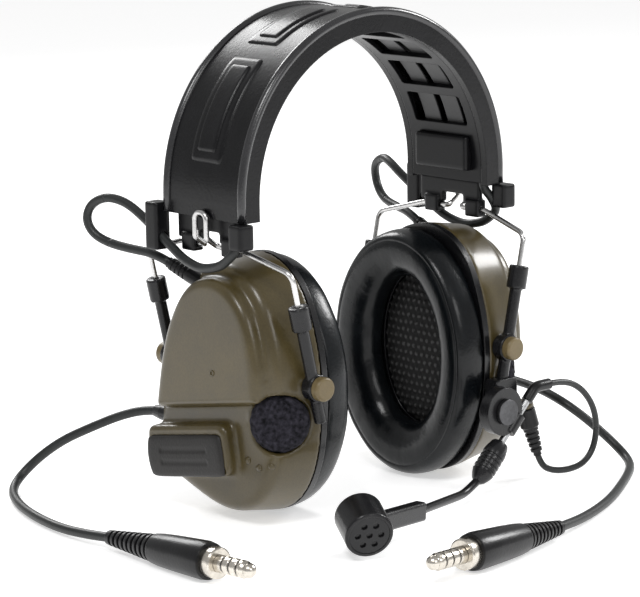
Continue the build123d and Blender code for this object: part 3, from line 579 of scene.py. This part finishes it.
def makeFoamCover(side):
    sign = sides[side]
    size = foamCover
    way = Vector((sign, -1, 0)).normalized()
    foot = placed(size["centre"], sign) - way * size["sunk"]
    profile = [(-size["depth"], 0.0002), (-size["depth"], size["radius"] - 0.001)]
    profile += [(0, size["radius"] - 0.001), (0.0001, size["radius"] - 0.0002)]
    straight = size["straight"]
    profile += [(straight * k / 6, size["radius"]) for k in range(1, 7)]
    for k in range(1, 31):
        turn = math.pi / 2 * k / 30
        profile.append((straight + (size["height"] - straight) * math.sin(turn),
                        max(size["radius"] * math.cos(turn) ** 0.62, 0.0002)))
    piece = turned(f"foamCover_{side}", foot, way, profile, "micFoam", 110)
    piece.modifiers.clear()
    for vert in piece.data.vertices:
        if (vert.co - foot).dot(way) > 0.0002:
            grain = noise.noise(vert.co * 520) + 0.5 * noise.noise(vert.co * 1100)
            vert.co += (vert.co - foot).normalized() * grain * size["rough"]
    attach(piece, f"cup_{side}")
    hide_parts(f"foam_mic_{side}")


# ---- battery doors, with a crowned face and a finger lip

doorSize = {
    "slope": -10, "bayMiddle": (0.0755, -0.002, 0.029), "along": 0.0145, "down": 0.0006,
    "halfLong": 0.0249, "halfHigh": 0.0090, "thick": 0.0012, "lip": 0.0008,
    "recessLong": 0.0222, "recessHigh": 0.0072, "crown": 0.0009, "groove": 0.00045,
}


def makeDoor(side):
    sign = sides[side]
    size = doorSize
    slope = math.radians(size["slope"])
    along = Vector((0, math.cos(slope), math.sin(slope)))
    up = Vector((0, -math.sin(slope), math.cos(slope)))
    middle = placed(size["bayMiddle"], sign) + along * size["along"] - up * size["down"]
    halfLong, halfHigh, thick, lip = size["halfLong"], size["halfHigh"], size["thick"], size["lip"]
    steps, rows = 72, 28
    verts = []
    for face in (1, -1):
        for i in range(steps + 1):
            for k in range(rows + 1):
                u, v = 2 * i / steps - 1, 2 * k / rows - 1
                square = 1 - 0.035 * (u * u) ** 4 * (v * v)
                y, z = u * halfLong * square, v * halfHigh * (1 - 0.10 * (u * u) ** 5)
                edge = (1 - (u * u) ** 9) * (1 - (v * v) ** 5)
                inside = abs(u) * halfLong < size["recessLong"] and abs(v) * halfHigh < size["recessHigh"]
                x = lip + thick * (0.1 + 0.9 * max(edge, 0) ** 0.4) + size["crown"] * (1 - v * v)
                if abs(u) < 0.62 and abs(abs(v) - 0.28) < 0.08:
                    x -= size["groove"]
                if face < 0:
                    x = -thick if inside else lip
                verts.append(middle + Vector((sign, 0, 0)) * x + along * y + up * z)
    width, count = rows + 1, (steps + 1) * (rows + 1)
    faces = []
    for i in range(steps):
        for k in range(rows):
            a = i * width + k
            faces.append((a, a + width, a + width + 1, a + 1))
            faces.append((count + a, count + a + 1, count + a + width + 1, count + a + width))
    rim = [i * width for i in range(steps + 1)] + [steps * width + k for k in range(1, rows + 1)]
    rim += [i * width + rows for i in range(steps - 1, -1, -1)] + list(range(rows - 1, 0, -1))
    for a, b in zip(rim, rim[1:] + rim[:1]):
        faces.append((a, b, count + b, count + a))
    piece = meshPiece(f"batteryDoor_{side}", verts, faces, "doorRubber")
    edges = piece.modifiers.new("edges", "EDGE_SPLIT")
    edges.split_angle = math.radians(50)
    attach(piece, f"door_{side}")
    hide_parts(f"battery_door_{side}")


# ---- cup shells: moulded edges are softened on a copy

moulding = {
    # node: (voxel size, smoothing passes, finish, slot, body)
    "cup_shell": (0.0008, 14, "oliveShell", "olive_plastic", "cup"),
    "arms": (0.00045, 7, "armPlastic", "arm_plastic", "slider"),
    "headband_clips": (0.0005, 12, "bandPlastic", "band_plastic", "headband"),
    "yokes": (0.0005, 7, "bandPlastic", "band_plastic", "headband"),
    "inner_blocks": (0.0005, 7, "bandPlastic", "band_plastic", "headband"),
    "boom_clamp": (0.0004, 6, "armPlastic", "arm_plastic", "slider_left"),
}


def softCopy(nodeName, stem, body):
    voxel, passes, finishName, slotName, _ = moulding[stem]
    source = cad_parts[nodeName]
    mesh = source.data.copy()
    mesh.transform(source.matrix_world)
    piece = bpy.data.objects.new(f"soft_{nodeName}", mesh)
    bpy.context.scene.collection.objects.link(piece)
    remesh = piece.modifiers.new("remesh", "REMESH")
    remesh.mode = "VOXEL"
    remesh.voxel_size = voxel
    smooth = piece.modifiers.new("smooth", "SMOOTH")
    smooth.factor = 0.5
    smooth.iterations = passes
    bpy.context.view_layer.update()
    made = bpy.data.meshes.new_from_object(piece.evaluated_get(bpy.context.evaluated_depsgraph_get()))
    piece.modifiers.clear()
    piece.data = made
    for face in made.polygons:
        face.use_smooth = True
    dress(piece, finishName)
    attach(piece, body)
    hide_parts(nodeName)
    return piece


shellDetails = {
    # (y, z, radius, rise) on the outside of each cup
    "sensor": (-0.0079, 0.0647, 0.0014, 0.0004),
    "nub_1": (-0.0215, 0.0290, 0.0016, 0.0009),
    "nub_2": (-0.0285, 0.0270, 0.0016, 0.0009),
    "nub_3": (-0.0350, 0.0285, 0.0014, 0.0008),
}


def makeShell(side):
    shell = softCopy(f"cup_shell_{side}", "cup_shell", f"cup_{side}")
    sign = sides[side]
    for name, (y, z, radius, rise) in shellDetails.items():
        start = placed((0.12, y, z), sign)
        hit, spot, normal, _ = shell.ray_cast(start, Vector((-sign, 0, 0)))
        if not hit:
            print("nothing to hold", name, side)
            continue
        profile = [(-0.0008, radius * 0.9), (0, radius), (rise * 0.5, radius * 0.9)]
        profile += [(rise * 0.85, radius * 0.6), (rise, radius * 0.2)]
        if name == "sensor":
            profile = [(-0.0008, radius * 0.9), (0, radius), (rise, radius * 0.85), (rise, radius * 0.55),
                       (-rise, radius * 0.45), (-rise, 0.0001)]
        piece = turned(f"{name}_{side}", spot, normal, profile, "oliveShell", 28)
        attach(piece, f"cup_{side}")


def makeMouldings():
    for nodeName in list(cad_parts):
        for stem, (_, _, _, _, body) in moulding.items():
            if stem != "cup_shell" and nodeName.startswith(stem):
                softCopy(nodeName, stem, nodeName.replace(stem, body) if stem == "arms" else body)


# ---- headband trim: piping along both edges and raised pads on the outside

bandTrim = {
    "pipeRadius": 0.0019, "pipeSunk": 0.0003, "pipeInset": 0.0012,
    "padRise": 0.0007, "padHalf": 0.0105, "padStep": 0.0042,
    "padSpans": [(-78, -40), (-34, -4), (4, 34), (40, 78)],  # degrees from the crown
}


def archPoint(turn, radius, y, crown):
    return Vector((radius * math.sin(turn), bandY + y, crown + radius * math.cos(turn)))


def makeBandTrim():
    low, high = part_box("headband_cover")
    outer = high[0]
    crown = high[2] - outer
    half = (high[1] - low[1]) / 2
    for name, y in (("front", -half), ("rear", half)):
        radius = outer - bandTrim["pipeSunk"]
        inset = y - math.copysign(bandTrim["pipeInset"], y)
        footZ = low[2] + 0.0006
        path = [Vector((-radius, bandY + inset, footZ))]
        path += [archPoint(math.pi * (k / 90 - 0.5), radius, inset, crown) for k in range(91)]
        path.append(Vector((radius, bandY + inset, footZ)))
        # the piping's lighter colour is a painted highlight
        pipe = tubeAlong(f"bandPiping_{name}", path, bandTrim["pipeRadius"], "pipingRubberPaintedHighlight")
        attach(pipe, "headband")
    layers = [(0, bandTrim["padRise"]), (bandTrim["padStep"], 2 * bandTrim["padRise"])]
    for n, span in enumerate(bandTrim["padSpans"]):
        first, last = map(math.radians, span)
        for layer, (inset, rise) in enumerate(layers):
            makeBandPad(f"bandPad_{n + 1}_{layer + 1}", first, last, outer, crown, inset, rise)


def makeBandPad(name, first, last, outer, crown, inset, rise):
    # a low rounded pad that follows the arch
    halfWide = bandTrim["padHalf"] - inset
    trim = inset / outer
    first, last = first + trim, last - trim
    steps, rows = 40, 14
    verts, faces = [], []
    for i in range(steps + 1):
        for k in range(rows + 1):
            u, v = 2 * i / steps - 1, 2 * k / rows - 1
            corner = 1 - 0.12 * (u * u) ** 6
            edge = (1 - (u * u) ** 14) * (1 - (v * v) ** 8)
            turn = (first + last) / 2 + (last - first) / 2 * u
            verts.append(archPoint(turn, outer - 0.0002 + (rise + 0.0002) * max(edge, 0) ** 0.5,
                                   v * halfWide * corner, crown))
    width = rows + 1
    for i in range(steps):
        for k in range(rows):
            a = i * width + k
            faces.append((a, a + width, a + width + 1, a + 1))
    piece = meshPiece(name, verts, faces, "bandRubber")
    solid = piece.modifiers.new("solid", "SOLIDIFY")
    solid.thickness = 0.0008
    solid.offset = -1
    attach(piece, "headband")


# ---- boom: ribbed ferrule, and the boom cord's plug with a ribbed boot

def makeBoomPieces():
    way = Vector((-1, 0, -1)).normalized()
    low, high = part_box("boom_ferrule")
    sunk = Vector((0.0030, 0, 0.0030))
    top = Vector((high[0], (low[1] + high[1]) / 2, high[2])) - sunk
    profile = [(0, 0.0018), (0, 0.0034), (0.0010, 0.0040), (0.0045, 0.0049)]
    for n in range(4):
        start = 0.0055 + n * 0.0024
        profile += [(start, 0.0050), (start + 0.0012, 0.0050)]
        profile += [(start + 0.0013, 0.0044), (start + 0.0023, 0.0044)]
    profile += [(0.0152, 0.0049), (0.0172, 0.0042), (0.0195, 0.0030), (0.0205, 0.0019)]
    ferrule = turned("boomFerrule", top, way, profile, "armPlastic", 36)
    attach(ferrule, "boom")
    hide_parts("boom_ferrule")
    mouth, end = placed((0.071, -0.0425, 0.030)), placed((0.0751, -0.046, 0.0095))
    plugWay = (end - mouth).normalized()
    socketEnd = 0.0085
    plug = turned("boomPlug", mouth, plugWay, [
        (-0.003, 0.001), (-0.003, 0.0029), (0, 0.0029), (0, 0.0042), (0.0078, 0.0042), (socketEnd, 0.0036),
        (socketEnd + 0.0004, 0.001)], "plugRubber", 32)
    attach(plug, "cup_left")
    length = (end - mouth).length
    ribs = [(socketEnd - 0.001, 0.001), (socketEnd - 0.001, 0.0034)]
    for n in range(5):
        start = socketEnd + n * 0.0024
        reach = 0.0034 - n * 0.0002
        ribs += [(start, reach), (start + 0.0013, reach)]
        ribs += [(start + 0.0014, reach - 0.0008), (start + 0.0023, reach - 0.0009)]
    ribs += [(length, 0.0019)]
    boot = turned("boomPlugBoot", mouth, plugWay, ribs, "plugRubber", 32)
    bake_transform(boot)
    for piece in (plug, boot):
        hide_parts("boom_plug")


def makeReliefs():
    for side, sign in sides.items():
        foot, tip = placed((0.0675, 0.005, 0.0975), sign), placed((0.072, 0.026, 0.106), sign)
        span = (tip - foot).length
        profile = [(0, 0.001), (0, 0.0032), (span * 0.45, 0.0032)]
        ribs = 5
        for n in range(ribs):
            start = span * (0.47 + 0.1 * n)
            reach = 0.0032 - 0.0001 * n
            profile += [(start, reach), (start + 0.0013, reach), (start + 0.0014, reach - 0.0006),
                        (start + 0.0021, reach - 0.0006)]
        profile += [(span, 0.0024)]
        piece = turned(f"linkRelief_{side}", foot, tip - foot, profile, "plugRubber", 32)
        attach(piece, f"cup_{side}")
        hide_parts(f"link_relief_{side}")


for side in sides:
    makeShell(side)
    makeCushion(side)
    makeLiner(side)
    makeFoamCover(side)
    makeDoor(side)
print("cups dressed")
makeMouldings()
makeBandTrim()
makeBoomPieces()
makeReliefs()
print("trim and boom done")


# ---- finishes of the pieces that stay as they are

nodeFinish = {
    "headband_cover": "bandRubber", "headband_frame": "bandPlastic", "spring_strips": "springSteel",
    "inner_blocks": "bandPlastic", "yokes": "bandPlastic", "headband_clips": "bandPlastic",
    "link_cable": "cableRubber", "fork_wire": "wireSteel", "arms": "armPlastic",
    "pivot_buttons": "tanButton",
    "ear_plate": "platePlastic", "speaker": "armPlastic", "circuit_board": "boardGreen", "cell": "cellCase",
    "battery_contacts": "plugNickel", "lead_gland": "plugRubber", "boom_clamp": "armPlastic",
    "boom_screw": "screwSteel", "boom_holder": "armPlastic", "boom_rod": "boomSteel",
    "boom_sleeve": "plugRubber",
    "boom_neck": "plugRubber", "mic_housing": "armPlastic", "mic_grille": "armPlastic", "key": "keyRubber",
}
for name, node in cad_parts.items():
    for stem, finishName in nodeFinish.items():
        if name.startswith(stem):
            dress(node, finishName)
            for face in node.data.polygons:
                face.material_index = 0
